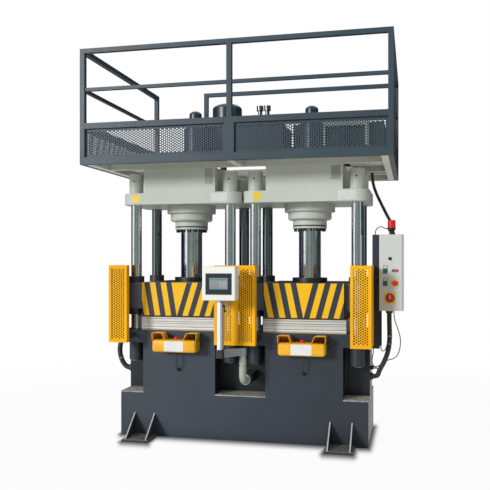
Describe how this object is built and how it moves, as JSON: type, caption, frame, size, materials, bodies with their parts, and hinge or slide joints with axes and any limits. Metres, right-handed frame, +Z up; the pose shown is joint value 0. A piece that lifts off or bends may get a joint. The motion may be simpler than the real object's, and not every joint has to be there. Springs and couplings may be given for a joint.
{
  "type": "hydraulic press",
  "caption": "Twin-station four-column hydraulic moulding press with guided rams, heated platens, guards, swivel panel and service platform.",
  "frame": {"origin": "centre of the welded base's underside, on the floor", "axes": "+X along the press to the operator's right, +Y from the operator to the back, +Z up"},
  "size_m": [2.81, 2.008, 3.512],
  "materials": {
    "base_paint": "satin anthracite machine paint",
    "crown_paint": "satin light grey-beige machine paint",
    "platform_beige": "satin beige paint",
    "rail_paint": "satin dark blue-grey paint",
    "polished_steel": "ground and polished",
    "bush_black": "blackened",
    "platen_paint": "satin, black and yellow stripes in front",
    "hot_steel": "ground steel over brown insulating sheet",
    "guard_yellow": "powder coat",
    "station_yellow": "semi-gloss moulding",
    "bracket_grey": "satin",
    "palm_black": "semi-gloss",
    "stop_red": "semi-gloss",
    "green_plastic": "translucent look",
    "arm_beige": "satin casting",
    "aluminium_tube": "anodised",
    "cream_paint": "satin powder coat",
    "display_black": "satin",
    "lever_black": "satin",
    "box_grey": "fine texture powder coat",
    "bezel_mixed": "satin",
    "rubber_black": "matt",
    "tank_paint": "satin dark blue-grey paint",
    "valve_metal": "machined"
  },
  "bodies": {
    "frame": {"base_frame": "base_paint", "anchor_feet": "base_paint", "table_plate": "base_paint", "columns": "polished_steel", "column_nuts": "crown_paint", "crowns": "crown_paint", "cylinders": "crown_paint", "cylinder_glands": "crown_paint", "lower_hot_platens": "hot_steel", "side_guards": "guard_yellow", "centre_guard": "guard_yellow", "guard_brackets": "bracket_grey", "hand_stations": "station_yellow", "station_cables": "rubber_black", "swivel_elbow": "arm_beige", "box_post": "bracket_grey", "control_box": "box_grey", "control_bezels": "bezel_mixed", "beacon": "stop_red", "box_conduit": "rubber_black", "crown_hose": "rubber_black", "left_conduit": "rubber_black", "thin_cables": "rubber_black", "cable_glands": "rubber_black", "platform_frame": "rail_paint", "platform_deck": "platform_beige", "infill_sheets": "rail_paint", "railings": "rail_paint", "oil_tank": "tank_paint", "pump_motor": "tank_paint", "prefill_tanks": "tank_paint", "valve_stack": "valve_metal", "pipework": "platform_beige"},
    "left_press_head": {"left_ram": "polished_steel", "left_moving_platen": "platen_paint", "left_bushes": "bush_black", "left_upper_hot_platen": "hot_steel"},
    "right_press_head": {"right_ram": "polished_steel", "right_moving_platen": "platen_paint", "right_bushes": "bush_black", "right_upper_hot_platen": "hot_steel"},
    "left_station_left_palm": {"left_station_left_palm": "palm_black"},
    "left_station_right_palm": {"left_station_right_palm": "palm_black"},
    "left_station_stop": {"left_station_stop": "stop_red"},
    "right_station_left_palm": {"right_station_left_palm": "palm_black"},
    "right_station_right_palm": {"right_station_right_palm": "palm_black"},
    "right_station_stop": {"right_station_stop": "stop_red"},
    "upper_green_button": {"upper_green_button": "green_plastic"},
    "lower_green_button": {"lower_green_button": "green_plastic"},
    "start_button": {"start_button": "green_plastic"},
    "off_button": {"off_button": "stop_red"},
    "box_stop_button": {"box_stop_button": "stop_red"},
    "key_switch": {"key_switch": "palm_black"},
    "main_switch": {"main_switch": "stop_red"},
    "panel_arm": {"swivel_head": "arm_beige", "panel_arm": "aluminium_tube", "panel_tube": "aluminium_tube"},
    "panel": {"panel_housing": "cream_paint", "panel_display": "display_black"},
    "clamp_lever": {"clamp_lever": "lever_black"}
  },
  "joints": [
    {"name": "left_ram_slide", "type": "slide", "parent": "frame", "child": "left_press_head", "axis": [0, 0, 1], "range_m": [0, 0.4]},
    {"name": "right_ram_slide", "type": "slide", "parent": "frame", "child": "right_press_head", "axis": [0, 0, 1], "range_m": [0, 0.4]},
    {"name": "left_station_left_palm_push", "type": "slide", "parent": "frame", "child": "left_station_left_palm", "axis": [0, 0, -1], "range_m": [0, 0.005], "stiffness_N_per_m": 1500, "springref_m": -0.002},
    {"name": "left_station_right_palm_push", "type": "slide", "parent": "frame", "child": "left_station_right_palm", "axis": [0, 0, -1], "range_m": [0, 0.005], "stiffness_N_per_m": 1500, "springref_m": -0.002},
    {"name": "left_station_stop_push", "type": "slide", "parent": "frame", "child": "left_station_stop", "axis": [0, 0, -1], "range_m": [0, 0.004]},
    {"name": "right_station_left_palm_push", "type": "slide", "parent": "frame", "child": "right_station_left_palm", "axis": [0, 0, -1], "range_m": [0, 0.005], "stiffness_N_per_m": 1500, "springref_m": -0.002},
    {"name": "right_station_right_palm_push", "type": "slide", "parent": "frame", "child": "right_station_right_palm", "axis": [0, 0, -1], "range_m": [0, 0.005], "stiffness_N_per_m": 1500, "springref_m": -0.002},
    {"name": "right_station_stop_push", "type": "slide", "parent": "frame", "child": "right_station_stop", "axis": [0, 0, -1], "range_m": [0, 0.004]},
    {"name": "upper_green_button_push", "type": "slide", "parent": "frame", "child": "upper_green_button", "axis": [0, 1, 0], "range_m": [0, 0.004], "stiffness_N_per_m": 1500, "springref_m": -0.002},
    {"name": "lower_green_button_push", "type": "slide", "parent": "frame", "child": "lower_green_button", "axis": [0, 1, 0], "range_m": [0, 0.004], "stiffness_N_per_m": 1500, "springref_m": -0.002},
    {"name": "start_button_push", "type": "slide", "parent": "frame", "child": "start_button", "axis": [0, 1, 0], "range_m": [0, 0.004], "stiffness_N_per_m": 1500, "springref_m": -0.002},
    {"name": "off_button_push", "type": "slide", "parent": "frame", "child": "off_button", "axis": [0, 1, 0], "range_m": [0, 0.004], "stiffness_N_per_m": 1500, "springref_m": -0.002},
    {"name": "box_stop_button_push", "type": "slide", "parent": "frame", "child": "box_stop_button", "axis": [0, 1, 0], "range_m": [0, 0.004]},
    {"name": "key_switch_turn", "type": "hinge", "parent": "frame", "child": "key_switch", "pos_m": [1.325, -0.303, 1.644], "axis": [0, 1, 0], "range_deg": [0, 90]},
    {"name": "main_switch_turn", "type": "hinge", "parent": "frame", "child": "main_switch", "pos_m": [1.325, -0.303, 1.3], "axis": [0, 1, 0], "range_deg": [0, 90]},
    {"name": "arm_swivel", "type": "hinge", "parent": "frame", "child": "panel_arm", "pos_m": [0.077, -0.61, 0.715], "axis": [0, 0, 1], "range_deg": [-10, 80]},
    {"name": "panel_turn", "type": "hinge", "parent": "panel_arm", "child": "panel", "pos_m": [-0.075, -0.79, 1.289], "axis": [0, 0, 1], "range_deg": [-60, 60]},
    {"name": "clamp_lever_turn", "type": "hinge", "parent": "panel_arm", "child": "clamp_lever", "pos_m": [-0.0522, -0.79, 1.243], "axis": [1, 0, 0], "range_deg": [-80, 80]}
  ]
}
